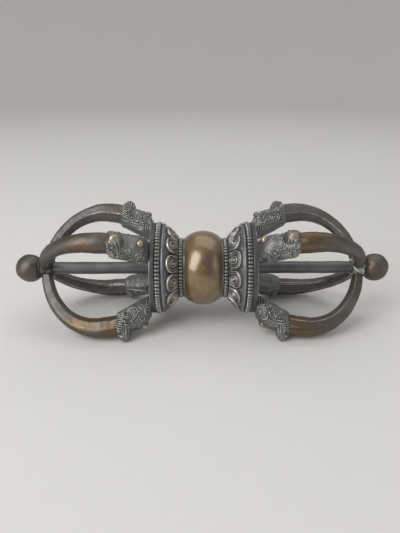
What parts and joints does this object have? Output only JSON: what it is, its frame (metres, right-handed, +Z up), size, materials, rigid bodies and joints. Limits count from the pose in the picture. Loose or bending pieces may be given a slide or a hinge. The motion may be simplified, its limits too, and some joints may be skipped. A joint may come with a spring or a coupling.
{
  "type": "dorje vajra",
  "caption": "Double-ended bronze ritual sceptre: round hub between lotus collars, and curved prongs from dragon heads closing on a ball finial at each end.",
  "frame": {"origin": "the middle of the hub globe, which is the middle of the whole object", "axes": "+X runs along the axis to the right in the picture, +Z is up as it lies on its side, and -Y faces the viewer"},
  "size_m": [0.1502, 0.0442, 0.0442],
  "materials": {
    "polished_bronze": "polished, golden brown, lightly marked",
    "brown_bronze": "brown patina, edges worn brighter",
    "chased_bronze": "grey-green patina in the chasing, worn high spots",
    "dark_bronze": "dark blue-grey patina, smooth",
    "stud_bronze": "worn domes"
  },
  "bodies": {
    "root": {"hub_globe": "polished_bronze", "central_spindle": "dark_bronze", "left_inner_bead_ring": "chased_bronze", "left_lotus_collar": "chased_bronze", "left_band_ring": "chased_bronze", "left_bead_rim": "chased_bronze", "left_socket_plate": "dark_bronze", "left_stud_rivets": "stud_bronze", "left_tip_collar": "brown_bronze", "left_finial": "brown_bronze", "left_makara_head_front_upper": "chased_bronze", "left_prong_front_upper": "brown_bronze", "left_makara_head_back_upper": "chased_bronze", "left_prong_back_upper": "brown_bronze", "left_makara_head_back_lower": "chased_bronze", "left_prong_back_lower": "brown_bronze", "left_makara_head_front_lower": "chased_bronze", "left_prong_front_lower": "brown_bronze", "right_inner_bead_ring": "chased_bronze", "right_lotus_collar": "chased_bronze", "right_band_ring": "chased_bronze", "right_bead_rim": "chased_bronze", "right_socket_plate": "dark_bronze", "right_stud_rivets": "stud_bronze", "right_tip_collar": "brown_bronze", "right_finial": "brown_bronze", "right_makara_head_front_upper": "chased_bronze", "right_prong_front_upper": "brown_bronze", "right_makara_head_back_upper": "chased_bronze", "right_prong_back_upper": "brown_bronze", "right_makara_head_back_lower": "chased_bronze", "right_prong_back_lower": "brown_bronze", "right_makara_head_front_lower": "chased_bronze", "right_prong_front_lower": "brown_bronze"}
  },
  "joints": []
}
